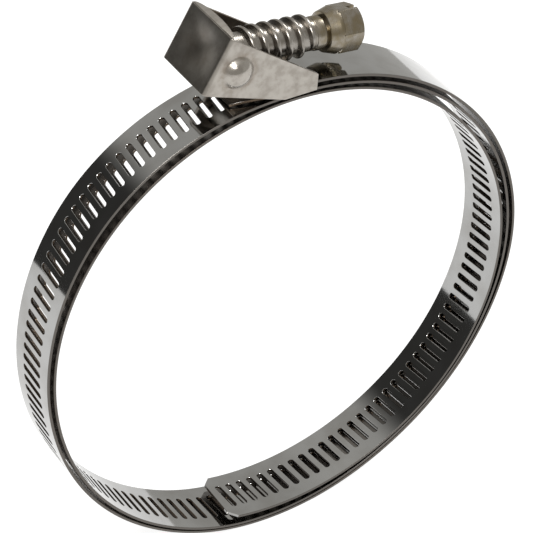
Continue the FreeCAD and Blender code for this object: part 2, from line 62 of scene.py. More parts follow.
# The face attribute that carries the wound strip's painted shade.
PAINTED_SHADE = "PaintedShade"

log = logging.getLogger("hose_clamp")

Number = float | int
Colour = tuple[float, float, float, float]


def smooth_step(start: float, end: float, value: float) -> float:
    """Returns 0 before start, 1 after end, and an even rise between them."""
    share = min(max((value - start) / (end - start), 0.0), 1.0)
    return share * share * (3 - 2 * share)


def between(first: Vector, last: Vector, share: float) -> Vector:
    """Returns the point that lies a share of the way from first to last."""
    return first + (last - first) * share


# ------------------------------------------------------------------ shader tools

class Value:
    """A number, colour or vector on its way through a node tree.

    Sums on values add Math nodes, so that masks are written as plain expressions.
    """

    def __init__(self, bench: "ShaderBench", socket: bpy.types.NodeSocket) -> None:
        """Wraps an output socket.

        Args:
            bench: The node tree's own bench.
            socket: The output socket.
        """
        self.bench = bench
        self.socket = socket

    def _sum(self, operation: str, first: "Value | Number",
             second: "Value | Number") -> "Value":
        """Returns the outcome of one Math node."""
        return self.bench.node("ShaderNodeMath", {"operation": operation},
                               {0: first, 1: second})

    def __add__(self, other: "Value | Number") -> "Value":
        """Returns self + other."""
        return self._sum("ADD", self, other)

    def __radd__(self, other: Number) -> "Value":
        """Returns other + self."""
        return self._sum("ADD", other, self)

    def __sub__(self, other: "Value | Number") -> "Value":
        """Returns self - other."""
        return self._sum("SUBTRACT", self, other)

    def __rsub__(self, other: Number) -> "Value":
        """Returns other - self."""
        return self._sum("SUBTRACT", other, self)

    def __mul__(self, other: "Value | Number") -> "Value":
        """Returns self * other."""
        return self._sum("MULTIPLY", self, other)

    def __rmul__(self, other: Number) -> "Value":
        """Returns other * self."""
        return self._sum("MULTIPLY", other, self)

    def __pow__(self, other: "Value | Number") -> "Value":
        """Returns self to the power of other."""
        return self._sum("POWER", self, other)

    def __abs__(self) -> "Value":
        """Returns self without its sign."""
        return self._sum("ABSOLUTE", self, 0)

    def ramp(self, start: float, end: float, low: float = 0.0,
             high: float = 1.0) -> "Value":
        """Returns an even, eased ramp from low to high.

        Args:
            start: The value at which the ramp starts.
            end: The value at which it ends, which may be below start.
            low: The outcome at start.
            high: The outcome at end.

        Returns:
            The ramped value.
        """
        if start > end:
            start, end, low, high = end, start, high, low
        return self.bench.node("ShaderNodeMapRange", {"interpolation_type": "SMOOTHSTEP"},
                               {"Value": self, "From Min": start, "From Max": end,
                                "To Min": low, "To Max": high})


class ShaderBench:
    """Adds nodes to one node tree."""

    def __init__(self, tree: bpy.types.NodeTree) -> None:
        """Clears the tree.

        Args:
            tree: The node tree of a material or of the world.
        """
        self.tree = tree
        tree.nodes.clear()

    def node(self, kind: str, settings: dict[str, object] | None = None,
             sockets: dict[str | int, object] | None = None,
             output: str | int = 0) -> Value:
        """Adds a node.

        Args:
            kind: The node's type.
            settings: Its settings.
            sockets: A number, colour or Value for each input that isn't left alone.
            output: The output that is wanted.

        Returns:
            The wanted output.
        """
        made = self.tree.nodes.new(kind)
        for name, setting in (settings or {}).items():
            setattr(made, name, setting)
        for name, given in (sockets or {}).items():
            if isinstance(given, Value):
                self.tree.links.new(given.socket, made.inputs[name])
            else:
                made.inputs[name].default_value = given
        wanted = made.outputs[output] if len(made.outputs) else None
        return Value(self, wanted)

    def mix(self, share: "Value | Number", first: "Value | Colour",
            second: "Value | Colour") -> Value:
        """Mixes two colours.

        Args:
            share: How much of the second there is.
            first: The first colour.
            second: The second colour.

        Returns:
            The mixed colour.
        """
        return self.node("ShaderNodeMix", {"data_type": "RGBA"},
                         {0: share, 6: first, 7: second}, 2)

    def place(self, source: str = "Object",
              scale: tuple[float, float, float] = (1, 1, 1)) -> Value:
        """Returns where a point of the surface lies.

        Args:
            source: Object for the frame's own metres, or UV for the piece's own map.
            scale: How much each axis is stretched.

        Returns:
            The place as a vector.
        """
        here = self.node("ShaderNodeTexCoord", output=source)
        return self.node("ShaderNodeMapping", {"vector_type": "POINT"},
                         {"Vector": here, "Scale": scale})

    def axes(self, vector: Value) -> tuple[Value, Value, Value]:
        """Returns the three parts of a vector."""
        parts = self.node("ShaderNodeSeparateXYZ", sockets={0: vector})
        outputs = parts.socket.node.outputs
        return tuple(Value(self, outputs[axis]) for axis in range(3))

    def noise(self, vector: Value, scale: float, detail: float = 3.0,
              roughness: float = 0.5) -> Value:
        """Returns cloudy noise about 0.5."""
        return self.node("ShaderNodeTexNoise", {"noise_dimensions": "3D"},
                         {"Vector": vector, "Scale": scale, "Detail": detail,
                          "Roughness": roughness})

    def bump(self, height: Value, depth: float, under: Value | None = None) -> Value:
        """Returns a surface's normal with a relief of a depth in metres."""
        sockets = {"Height": height, "Distance": depth, "Strength": 1.0}
        if under is not None:
            sockets["Normal"] = under
        return self.node("ShaderNodeBump", sockets=sockets)


@dataclass(frozen=True)
class SteelFinish:
    """A bare steel surface; each kind of it adds its own marks."""

    name: str
    light: Colour
    dark: Colour
    roughness: float

    def make(self) -> bpy.types.Material:
        """Makes the material.

        Returns:
            The finished material.
        """
        material = bpy.data.materials.new(self.name)
        material.use_nodes = True
        bench = ShaderBench(material.node_tree)
        colour, roughness, normal = self.surface(bench)
        shader = bench.node("ShaderNodeBsdfPrincipled", sockets={
            "Base Color": colour, "Metallic": 1.0, "Roughness": roughness,
            "Normal": normal})
        bench.node("ShaderNodeOutputMaterial", sockets={"Surface": shader})
        return material

    def surface(self, bench: ShaderBench) -> tuple[Value, Value, Value]:
        """Returns the colour, the roughness and the normal of the surface."""
        spread = bench.noise(bench.place(), 900.0)
        colour = bench.mix(spread, self.light, self.dark)
        return colour, spread * 0.1 + self.roughness, bench.bump(spread, 2e-6)


@dataclass(frozen=True)
class StripSteel(SteelFinish):
    """Bright rolled strip: fine lines and soft waves, dark cut edges, and painted shade in
    the slots and between the wound turns.
    """

    line_pitch: float = 9000.0
    half_width: float = 0.00635
    edge_band: tuple[float, float] = (0.00010, 0.00002)
    cut: Colour = (0.12, 0.11, 0.10, 1.0)
    painted_shade_colour: Colour = (0.085, 0.065, 0.048, 1.0)

    def surface(self, bench: ShaderBench) -> tuple[Value, Value, Value]:
        """Returns the colour, the roughness and the normal of the surface."""
        lines = bench.noise(bench.place("UV", (90.0, self.line_pitch, 1.0)), 1.0, 4.0, 0.6)
        broad = bench.noise(bench.place("UV", (25.0, 500.0, 1.0)), 1.0, 3.0)
        cloud = bench.noise(bench.place(), 160.0, 4.0)
        colour = bench.mix(cloud.ramp(0.35, 0.7), self.light, self.dark)
        colour = bench.mix(lines.ramp(0.55, 0.85, 0.0, 0.35), colour, self.dark)
        _, y, _ = bench.axes(bench.place())
        outer, inner = self.edge_band
        edge = abs(y).ramp(self.half_width - outer, self.half_width - inner)
        colour = bench.mix(edge, colour, self.cut)
        # Painted shade: the slot walls, the tongue's tucked end and the hidden turns are
        # darkened to a brown and made rougher.
        painted_shade = bench.node("ShaderNodeAttribute", {"attribute_name": PAINTED_SHADE}, output="Fac")
        colour = bench.mix(painted_shade, colour, self.painted_shade_colour)
        roughness = lines * 0.05 + broad * 0.03 + self.roughness + edge * 0.25 + painted_shade * 0.3
        waves = bench.noise(bench.place("UV", (60.0, 40.0, 1.0)), 1.0, 1.0)
        relief = bench.bump(waves, 6e-5)
        return colour, roughness, bench.bump(lines, 6e-7, relief)


@dataclass(frozen=True)
class SheetSteel(SteelFinish):
    """Pressed sheet: a satin grain, and painted shade in a ring round each dome, inside the
    housing and in the darker hollow of the web.

    Each pair of a place and a place is where a mask starts and where it is full.
    """

    pivot: tuple[float, float] = (PIVOT[0] * MM, PIVOT[1] * MM)
    dome_radius: float = 0.0031
    # The dark colour of the painted shade, also used for fine speckles of grain.
    painted_shade: Colour = (0.16, 0.12, 0.085, 1.0)
    web_middle: tuple[float, float] = (-0.01555, 0.06266)
    down: tuple[float, float] = (-0.528, -0.849)
    web_half: float = 0.0069
    web_reach: float = 0.0058
    web_start: tuple[float, float] = (-0.0118, -0.0125)
    lip_start: tuple[float, float] = (0.0668, 0.0664)
    skin: float = 0.0002

    def surface(self, bench: ShaderBench) -> tuple[Value, Value, Value]:
        """Returns the colour, the roughness and the normal of the surface."""
        here = bench.place()
        cloud = bench.noise(here, 420.0, 5.0, 0.6)
        fine = bench.noise(here, 5200.0, 3.0, 0.7)
        x, y, z = bench.axes(here)
        beside = abs(y)
        away_x, away_z = x - self.pivot[0], z - self.pivot[1]
        radius = (away_x * away_x + away_z * away_z) ** 0.5
        ring = radius.ramp(self.dome_radius * 0.86, self.dome_radius * 1.02) \
            * radius.ramp(self.dome_radius * 1.5, self.dome_radius * 1.05)
        colour = bench.mix(cloud.ramp(0.38, 0.66), self.light, self.dark)
        # Painted shade in a patchy ring round the foot of each dome.
        colour = bench.mix(ring * cloud.ramp(0.2, 0.6) * 0.45, colour, self.painted_shade)
        # Fine dark speckles of the sheet's own grain, in the painted shade's colour.
        colour = bench.mix(fine.ramp(0.6, 0.8, 0.0, 0.18), colour, self.painted_shade)
        # Painted shade on the inside of the housing, behind the web and below the lip.
        before, behind = self.web_start
        inner = beside.ramp(self.web_half + self.skin, self.web_half) \
            * x.ramp(behind, before) * z.ramp(*self.lip_start)
        colour = bench.mix(inner * 0.7, colour, self.painted_shade)
        # Painted shade in the middle of the web's hollow; the same hollow is also bumped
        # into the normal below.
        below = (x - self.web_middle[0]) * self.down[0] \
            + (z - self.web_middle[1]) * self.down[1]
        height = abs(below).ramp(self.web_reach, 0.0)
        dished = beside.ramp(self.web_half, 0.0) * height * x.ramp(before, behind)
        colour = bench.mix(dished.ramp(0.15, 0.75) * 0.25, colour, self.painted_shade)
        on_dome = radius.ramp(self.dome_radius, self.dome_radius * 0.7)
        roughness = cloud * 0.12 + self.roughness - on_dome * 0.16
        relief = bench.bump(cloud, 3e-5, bench.bump(1 - dished, 6e-4))
        return colour, roughness, bench.bump(fine, 1.2e-6, relief)


@dataclass(frozen=True)
class TurnedSteel(SteelFinish):
    """Turned and rolled steel: rings round the axis, warmer towards the head."""

    axis: tuple[float, float] = (math.cos(math.radians(LEAN)), -math.sin(math.radians(LEAN)))
    pivot: tuple[float, float] = (PIVOT[0] * MM, PIVOT[1] * MM)
    warm: Colour = (0.20, 0.165, 0.105, 1.0)
    warm_from: float = 0.0175
    warm_to: float = 0.0205

    def surface(self, bench: ShaderBench) -> tuple[Value, Value, Value]:
        """Returns the colour, the roughness and the normal of the surface."""
        here = bench.place()
        x, _, z = bench.axes(here)
        along = (x - self.pivot[0]) * self.axis[0] + (z - self.pivot[1]) * self.axis[1]
        rings = bench.node("ShaderNodeTexNoise", {"noise_dimensions": "1D"},
                           {"W": along, "Scale": 9000.0, "Detail": 3.0})
        cloud = bench.noise(here, 500.0, 5.0, 0.6)
        colour = bench.mix(cloud.ramp(0.36, 0.68), self.light, self.dark)
        toned = along.ramp(self.warm_from, self.warm_to) * cloud.ramp(0.1, 0.75)
        colour = bench.mix(toned, colour, self.warm)
        roughness = rings * 0.1 + cloud * 0.1 + self.roughness
        relief = bench.bump(cloud, 2e-5)
        return colour, roughness, bench.bump(rings, 1.5e-6, relief)


class Finish(Enum):
    """The finishes of the clamp, one for each material slot that it uses."""

    STRIP = StripSteel("bright_strip", (0.39, 0.39, 0.385, 1.0), (0.335, 0.33, 0.32, 1.0),
                       0.03)
    SHEET = SheetSteel("pressed_sheet", (0.40, 0.375, 0.34, 1.0), (0.30, 0.275, 0.245, 1.0),
                       0.28)
    SCREW = TurnedSteel("rolled_screw", (0.32, 0.30, 0.275, 1.0), (0.22, 0.20, 0.175, 1.0),
                        0.18)
    BLOCK = SteelFinish("plain_block", (0.50, 0.48, 0.45, 1.0), (0.40, 0.38, 0.35, 1.0),
                        0.32)

    def material(self) -> bpy.types.Material:
        """Returns the finish's material, made the first time it is asked for."""
        found = bpy.data.materials.get(self.value.name)
        return found if found is not None else self.value.make()


# ------------------------------------------------------------------ mesh tools

@dataclass(frozen=True)
class Place:
    """What a piece stands for: its body, the frame nodes it replaces and its slot."""

    body: str
    nodes: tuple[str, ...]
    slot: str


def shade(bm: bmesh.types.BMesh, sharp_angle: float = 35.0) -> None:
    """Shades faces smooth and keeps the edges that turn more than an angle sharp.

    Args:
        bm: The mesh that is shaded.
        sharp_angle: The angle in degrees.
    """
    for face in bm.faces:
        face.smooth = True
    for edge in bm.edges:
        edge.smooth = edge.calc_face_angle(0.0) < math.radians(sharp_angle)


def close_up(bm: bmesh.types.BMesh, distance: float = 1e-4) -> None:
    """Merges doubled vertices and turns every face outwards."""
    bmesh.ops.remove_doubles(bm, verts=bm.verts, dist=distance)
    bmesh.ops.recalc_face_normals(bm, faces=bm.faces)


def sharp_edges(bm: bmesh.types.BMesh, angle: float) -> list[bmesh.types.BMEdge]:
    """Returns the edges whose faces meet at more than an angle in degrees."""
    return [edge for edge in bm.edges if edge.calc_face_angle(0.0) > math.radians(angle)]


def soften(bm: bmesh.types.BMesh, width: float, angle: float = 50.0,
           segments: int = 1) -> None:
    """Bevels the sharp edges of a mesh.

    Args:
        bm: The mesh.
        width: The bevel's width.
        angle: The least angle of an edge that is bevelled, in degrees.
        segments: How many faces the bevel has across.
    """
    bmesh.ops.bevel(bm, geom=sharp_edges(bm, angle), offset=width, affect="EDGES",
                    segments=segments, profile=0.5, material=-1, clamp_overlap=True)


def settled(bm: bmesh.types.BMesh, name: str) -> bpy.types.Mesh:
    """Turns a finished bmesh into a mesh and frees it."""
    mesh = bpy.data.meshes.new(name)
    bm.to_mesh(mesh)
    bm.free()
    return mesh


def new_object(mesh: bpy.types.Mesh, name: str) -> bpy.types.Object:
    """Puts a mesh in the scene."""
    piece = bpy.data.objects.new(name, mesh)
    bpy.context.scene.collection.objects.link(piece)
    return piece


def modified(piece: bpy.types.Object) -> bpy.types.Mesh:
    """Returns a piece's mesh with its modifiers applied, and removes the piece."""
    graph = bpy.context.evaluated_depsgraph_get()
    mesh = bpy.data.meshes.new_from_object(piece.evaluated_get(graph))
    bpy.data.objects.remove(piece)
    return mesh


def hand_over(piece: bpy.types.Object, finish: Finish, place: Place) -> bpy.types.Object:
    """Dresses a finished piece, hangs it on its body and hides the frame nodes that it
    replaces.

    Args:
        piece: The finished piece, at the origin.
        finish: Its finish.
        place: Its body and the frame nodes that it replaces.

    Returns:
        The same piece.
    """
    piece.data.materials.clear()
    piece.data.materials.append(finish.material())
    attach(piece, place.body)
    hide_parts(*place.nodes)
    log.info("%s: %d faces, rides on %s", piece.name, len(piece.data.polygons), place.body)
    return piece


# ------------------------------------------------------------------ the wound strip

@dataclass
class WindingLine:
    """The line that the middle of the wound strip follows, seen along the ring's axis.

    Angles count on past full turns from the tail.  Each station is an angle and the
    strip's lift above the innermost turn, in layers.
    """

    base_radius: float
    layer: float
    stations: tuple[tuple[float, float], ...]
    sample: float = 0.5
    angles: list[float] = field(default_factory=list)
    lengths: list[float] = field(default_factory=list)

    def __post_init__(self) -> None:
        """Measures the line's length up to each sample."""
        start, end = self.stations[0][0], self.stations[-1][0]
        count = round((end - start) / self.sample)
        step = (end - start) / count
        self.angles = [start + step * number for number in range(count + 1)]
        self.lengths = [0.0]
        for angle in self.angles[:-1]:
            radius, slope = self.radius(angle + step / 2)
            self.lengths.append(self.lengths[-1]
                                + math.hypot(radius, slope) * math.radians(step))

    def _slope(self, number: int) -> float:
        """Returns how fast the lift changes at a station."""
        if number in (0, len(self.stations) - 1):
            return 0.0
        (a, low), (b, here), (c, high) = self.stations[number - 1:number + 2]
        before, after = (here - low) / (b - a), (high - here) / (c - b)
        return (before * (c - b) + after * (b - a)) / (c - a)

    def radius(self, angle: float) -> tuple[float, float]:
        """Returns the radius at an angle, and how it changes with the angle in radians."""
        last = len(self.stations) - 2
        number = min(max(bisect.bisect_right(self.stations, (angle, 1e9)) - 1, 0), last)
        (start, low), (end, high) = self.stations[number:number + 2]
        span = end - start
        t = (angle - start) / span
        leave, arrive = self._slope(number) * span, self._slope(number + 1) * span
        cubic = 2 * (low - high) + leave + arrive
        square = 3 * (high - low) - 2 * leave - arrive
        lift = ((cubic * t + square) * t + leave) * t + low
        slope = ((3 * cubic * t + 2 * square) * t + leave) / span
        return self.base_radius + self.layer * lift, self.layer * math.degrees(slope)

    def at(self, length: float) -> tuple[Vector, Vector, Vector]:
        """Returns the place on the line at a length from the tail.

        Args:
            length: The length along the line.

        Returns:
            The point, the way on and the way out, each square to the ring's axis.
        """
        number = min(max(bisect.bisect_right(self.lengths, length) - 1, 0),
                     len(self.lengths) - 2)
        low, high = self.lengths[number:number + 2]
        share = (length - low) / (high - low)
        angle = self.angles[number] + share * (self.angles[number + 1] - self.angles[number])
        radius, slope = self.radius(angle)
        out = Vector((math.cos(math.radians(angle)), 0, math.sin(math.radians(angle))))
        on = Vector((-out.z, 0, out.x))
        along = (out * slope + on * radius).normalized()
        return out * radius, along, Vector((along.z, 0, -along.x))

    @property
    def total(self) -> float:
        """The line's whole length."""
        return self.lengths[-1]


@dataclass
class WoundBand:
    """The slotted strip, wound up for storage, with its plain tongue outermost."""

    width: float = 12.7
    sheet: float = 0.55
    seat_radius: float = 49.4
    layer_play: float = 0.12
    slot_pitch: float = 2.494
    slot_length: float = 6.8
    slot_width: float = 1.25
    slot_slant: float = 5.0
    tail_margin: float = 2.45
    tail_chamfer: float = 1.8
    tongue_taper: float = 2.7
    taper_length: float = 6.82
    last_slot_angle: float = 722.0
    rim: float = 0.05
    rows: int = 9
    column: float = 1.25
    inner_length: float = 505.0
    outer_length: float = 326.0
    tip_length: float = 9.0
    # How much painted shade the turns hidden under other turns get.
    hidden_turn_shade: float = 0.6
    stations: tuple[tuple[float, float], ...] = (
        (-105.5, 0), (100, 0), (130, 0.8), (160, 1.0), (190, 0.85), (215, 1.5),
        (235, 2.35), (255, 3.0), (275, 2.3), (300, 1.15), (320, 1.0), (340, 1.1),
        (360, 1.6), (380, 1.9), (415, 1.65), (440, 1.4), (452, 1.5), (465, 2.6),
        (480, 3.85), (495, 4.4), (510, 4.0), (530, 3.05), (550, 2.65), (570, 2.95),
        (590, 3.5), (613, 4.1), (635, 3.5), (660, 2.3), (680, 2.05), (700, 2.65),
        (720, 3.6), (742, 3.75), (770, 3.6), (822.5, 3.6),
    )
    line: WindingLine = field(init=False)

    def __post_init__(self) -> None:
        """Lays out the winding line."""
        self.line = WindingLine(self.seat_radius + self.sheet / 2,
                                self.sheet + self.layer_play, self.stations)

    @property
    def slot_count(self) -> int:
        """How many slots there are from the tail to the plain tongue."""
        place = bisect.bisect_right(self.line.angles, self.last_slot_angle)
        return int((self.line.lengths[place] - self.tail_margin) // self.slot_pitch) + 1

    def _slotted_cell(self) -> bmesh.types.BMesh:
        """Makes one pitch of the flat strip: a rectangle round a slanted slot."""
        cell = bmesh.new()
        slot = bmesh.ops.create_grid(cell, x_segments=1, y_segments=1, size=0.5)["verts"]
        bmesh.ops.scale(cell, verts=slot, vec=(self.slot_width, self.slot_length, 1))
        bmesh.ops.bevel(cell, geom=slot, offset=self.slot_width / 2, affect="VERTICES",
                        segments=6, profile=0.5, material=-1, clamp_overlap=False)
        bmesh.ops.remove_doubles(cell, verts=cell.verts, dist=1e-3)
        bmesh.ops.rotate(cell, verts=cell.verts, cent=(0, 0, 0),
                         matrix=Matrix.Rotation(math.radians(-self.slot_slant), 3, "Z"))
        inner = list(cell.edges)
        bmesh.ops.delete(cell, geom=list(cell.faces), context="FACES_ONLY")
        border = bmesh.ops.create_grid(cell, x_segments=4, y_segments=self.rows, size=0.5)
        bmesh.ops.scale(cell, verts=border["verts"],
                        vec=(self.slot_pitch, self.width, 1))
        middle = [edge for edge in cell.edges
                  if edge not in inner and len(edge.link_faces) == 2]
        bmesh.ops.delete(cell, geom=middle, context="EDGES_FACES")
        bmesh.ops.delete(cell, geom=[v for v in cell.verts if not v.link_edges],
                         context="VERTS")
        outer = [edge for edge in cell.edges if edge not in inner]
        bmesh.ops.bridge_loops(cell, edges=inner + outer)
        return cell

    def _flat_strip(self) -> bmesh.types.BMesh:
        """Makes the whole strip flat: X from the tongue's end, Y across, Z outwards."""
        strip = bmesh.new()
        total = self.line.total
        pattern = settled(self._slotted_cell(), "pattern")
        for number in range(self.slot_count):
            before = len(strip.verts)
            strip.from_mesh(pattern)
            strip.verts.ensure_lookup_table()
            place = total - self.tail_margin - number * self.slot_pitch
            bmesh.ops.translate(strip, verts=strip.verts[before:], vec=(place, 0, 0))
        bpy.data.meshes.remove(pattern)
        first = total - self.tail_margin - (self.slot_count - 0.5) * self.slot_pitch
        self._plain_stretch(strip, 0.0, first)
        self._plain_stretch(strip, total - self.tail_margin + self.slot_pitch / 2, total)
        bmesh.ops.remove_doubles(strip, verts=strip.verts, dist=1e-3)
        self._trim_corners(strip)
        bmesh.ops.recalc_face_normals(strip, faces=strip.faces)
        if sum(face.normal.z for face in strip.faces) < 0:
            bmesh.ops.reverse_faces(strip, faces=strip.faces)
        return strip

    def _plain_stretch(self, strip: bmesh.types.BMesh, start: float, end: float) -> None:
        """Adds a stretch of the flat strip that has no slots."""
        columns = max(1, round((end - start) / self.column))
        made = bmesh.ops.create_grid(strip, x_segments=columns,
                                     y_segments=self.rows, size=0.5)["verts"]
        bmesh.ops.scale(strip, verts=made, vec=(end - start, self.width, 1))
        bmesh.ops.translate(strip, verts=made, vec=((start + end) / 2, 0, 0))

    def _trim_corners(self, strip: bmesh.types.BMesh) -> None:
        """Chamfers the tail's corners and tapers the end of the tongue."""
        total, half = self.line.total, self.width / 2
        for side in (-1, 1):
            for place, cut, run in ((total, self.tail_chamfer, -self.tail_chamfer),
                                    (0.0, self.tongue_taper, self.taper_length)):
                tip = Vector((place, side * (half - cut), 0))
                root = Vector((place + run, side * half, 0))
                along = root - tip
                away = Vector((along.y, -along.x, 0))
                if away.y * side < 0:
                    away.negate()
                bmesh.ops.bisect_plane(
                    strip, geom=strip.verts[:] + strip.edges[:] + strip.faces[:],
                    dist=1e-4, plane_co=tip, plane_no=away, clear_outer=True)

    def _thicken(self, strip: bmesh.types.BMesh) -> None:
        """Gives the flat strip its thickness and breaks its edges."""
        made = bmesh.ops.extrude_face_region(strip, geom=strip.faces[:],
                                             use_keep_orig=True)["geom"]
        top = [item for item in made if isinstance(item, bmesh.types.BMVert)]
        bmesh.ops.translate(strip, verts=strip.verts, vec=(0, 0, -self.sheet / 2))
        bmesh.ops.translate(strip, verts=top, vec=(0, 0, self.sheet))
        bmesh.ops.recalc_face_normals(strip, faces=strip.faces)
        soften(strip, self.rim, 60.0)

    def _bend(self, mesh: bpy.types.Mesh) -> None:
        """Winds the flat strip onto its line, with the flat strip's own shading."""
        normals = [Vector(corner.vector) for corner in mesh.corner_normals]
        total = self.line.total
        frames = []
        for vertex in mesh.vertices:
            x, y, z = vertex.co
            point, along, out = self.line.at(total - x)
            vertex.co = point + out * z + Vector((0, y, 0))
            frames.append((-along, out))
        turned = []
        for loop, flat in zip(mesh.loops, normals):
            back, out = frames[loop.vertex_index]
            turned.append(back * flat.x + out * flat.z + Vector((0, flat.y, 0)))
        mesh.transform(Matrix.Scale(MM, 4))
        mesh.normals_split_custom_set(turned)

    def _painted_shade_level(self, face: bmesh.types.BMFace) -> float:
        """Returns how much painted shade a face of the flat strip gets: slot walls and
        hidden turns.

        Args:
            face: The face, before the strip is wound.

        Returns:
            The painted shade, from none at 0 to full at 1.
        """
        middle = face.calc_center_median()
        wound = self.line.total - middle.x
        if abs(face.normal.z) < 0.5:
            in_slot = abs(middle.y) < self.slot_length / 2 + 0.1
            return 1.0 if in_slot or middle.x < self.tip_length else 0.0
        if face.normal.z > 0:
            hidden = not self.tip_length < middle.x < self.outer_length
        else:
            hidden = wound > self.inner_length
        return self.hidden_turn_shade if hidden else 0.0

    def build(self) -> bpy.types.Object:
        """Builds the strip.

        Returns:
            The wound strip.
        """
        strip = self._flat_strip()
        self._thicken(strip)
        chart = strip.loops.layers.uv.new("Strip")
        # The painted shade is kept per face, for the strip's finish.
        painted_shade = strip.faces.layers.float.new(PAINTED_SHADE)
        for face in strip.faces:
            face[painted_shade] = self._painted_shade_level(face)
            for loop in face.loops:
                loop[chart].uv = (loop.vert.co.x * MM, loop.vert.co.y * MM)
        shade(strip, 30.0)
        mesh = settled(strip, "wound_band")
        self._bend(mesh)
        return new_object(mesh, "wound_band")

    def dress(self, piece: bpy.types.Object) -> None:
        """Gives the strip its finish."""
        hand_over(piece, Finish.STRIP, Place("ring", ("band",), "band_steel"))


# ------------------------------------------------------------------ the folded housing

@dataclass
class FoldedHousing:
    """The bracket folded from one sheet: dished web, two cheeks with domes, lip, strap."""

    half_width: float = 7.45
    sheet: float = 0.7
    bend: float = 0.9
    brow: tuple[float, float] = (-12.5, 67.562)
    foot: tuple[float, float] = (-18.6, 57.762)
    cheek_end: tuple[float, float] = (5.22, 54.21)
    strap_start: tuple[float, float] = (4.92, 50.88)
    strap_end: tuple[float, float] = (-1.78, 51.06)
    strap_radii: tuple[float, float] = (51.092, 51.792)
    strap_angles: tuple[float, float] = (84.5, 92.0)
    strap_seam: float = 0.3
    strap_play: float = 0.1
    knee: float = 0.76
    pivot: tuple[float, float] = PIVOT
    dome_radius: float = 3.4
    dome_rise: float = 1.99
    dome_blend: float = 0.22
    dish: float = 0.55
    dish_blend: float = 0.2
    near_side: float = 1.35
    dents: tuple[tuple[float, float, float, float], ...] = (
        (0.6, 54.4, 1.1, 0.16), (-15.3, 59.2, 0.8, 0.07))
    lip_depth: float = 1.7
    lip_reach: float = 6.9
    rim: float = 0.09
    lip_rim: float = 0.12
    web_columns: int = 44
    bend_columns: int = 8
    cheek_columns: int = 66
    rows: int = 40

    @staticmethod
    def _raised(place: tuple[float, float]) -> Vector:
        """Returns a place of the side view as a point on the middle plane."""
        return Vector((place[0], 0, place[1]))

    @property
    def down(self) -> Vector:
        """The way down the web."""
        return (self._raised(self.foot) - self._raised(self.brow)).normalized()

    @property
    def inwards(self) -> Vector:
        """The way from the web towards the screw's head."""
        return Vector((-self.down.z, 0, self.down.x))

    def _column(self, number: int) -> tuple[float, float, float]:
        """Returns where a column of the unfolded sheet goes.

        Args:
            number: The column's number, from the web's middle outwards.

        Returns:
            The distance from the middle plane, the depth behind the web, and the angle
            that the fold has turned.
        """
        flat = self.half_width - self.bend
        web, bend = self.web_columns / 2, self.bend_columns
        if number <= web:
            return flat * number / web, 0.0, 0.0
        if number <= web + bend:
            turn = math.pi / 2 * (number - web) / bend
            return (flat + self.bend * math.sin(turn),
                    self.bend * (1 - math.cos(turn)), turn)
        run = (self._raised(self.cheek_end) - self._raised(self.brow)).dot(self.inwards)
        share = (number - web - bend) / self.cheek_columns
        return self.half_width, self.bend + (run - self.bend) * share, math.pi / 2

    def _side_point(self, depth: float, share: float) -> Vector:
        """Returns a point of the side view, a share of the way down from the top edge."""
        brow, foot = self._raised(self.brow), self._raised(self.foot)
        end, start = self._raised(self.cheek_end), self._raised(self.strap_start)
        corner = self._raised(self.strap_end)
        run = (end - brow).dot(self.inwards)
        reach = depth / run
        top = between(brow, end, reach)
        if reach < self.knee:
            bottom = between(foot, corner, reach / self.knee)
        else:
            bottom = between(corner, start, (reach - self.knee) / (1 - self.knee))
        return between(top, bottom, share)

    def _dome(self, point: Vector) -> float:
        """Returns how far the pivot dome lifts a point of the cheek."""
        away = (point - self._raised(self.pivot)).length
        base = self.dome_radius - self.dome_rise
        lift = math.sqrt(max(self.dome_radius ** 2 - away ** 2, 0.0)) - base
        lift = lift if away < self.dome_radius else -base - (away - self.dome_radius)
        return (lift + math.hypot(lift, self.dome_blend)) / 2 \
            * smooth_step(self.dome_radius * 1.35, self.dome_radius * 0.9, away)

    def _dent(self, point: Vector) -> float:
        """Returns how far the small pressed marks sink a point of the cheek."""
        depth = 0.0
        for x, z, radius, sunk in self.dents:
            away = (point - Vector((x, 0, z))).length / radius
            depth += sunk * (math.exp(-2 * away * away)
                             - 0.35 * math.exp(-8 * (away - 1.15) ** 2))
        return depth

    def _sink(self, across: float, share: float) -> float:
        """Returns how far the dished web sinks at a place; its hollow is off centre."""
        flat = self.half_width - self.bend * 0.6
        side = (1 - abs(across) / flat) * (self.near_side if across < 0 else 1.0)
        height = 1 - abs(2 * share - 1)
        if side <= 0:
            return 0.0
        low = (side + height - math.hypot(side - height, self.dish_blend)) / 2
        return self.dish * smooth_step(-0.25, 1.0, max(low, 0.0)) \
            - self.dish * smooth_step(-0.25, 1.0, 0.0)

    def _folded_sheet(self) -> bmesh.types.BMesh:
        """Makes the outer face of the folded sheet."""
        half = self.web_columns // 2 + self.bend_columns + self.cheek_columns
        bm = bmesh.new()
        bmesh.ops.create_grid(bm, x_segments=2 * half, y_segments=self.rows, size=0.5)
        for vertex in bm.verts:
            column = round(vertex.co.x * 2 * half)
            share = round((0.5 - vertex.co.y) * self.rows) / self.rows
            side = 1 if column >= 0 else -1
            across, depth, turn = self._column(abs(column))
            point = self._side_point(depth, share)
            out = Vector((0, side * math.sin(turn), 0)) - self.inwards * math.cos(turn)
            lift = -self._sink(across, share) if turn < math.pi / 2 else 0.0
            if turn == math.pi / 2:
                lift = self._dome(point) - (self._dent(point) if side < 0 else 0.0)
            vertex.co = point + Vector((0, side * across, 0)) + out * lift
        bmesh.ops.recalc_face_normals(bm, faces=bm.faces)
        middle = min(bm.faces, key=lambda face: face.calc_center_median().x)
        if middle.normal.dot(self.inwards) > 0:
            bmesh.ops.reverse_faces(bm, faces=bm.faces)
        return bm

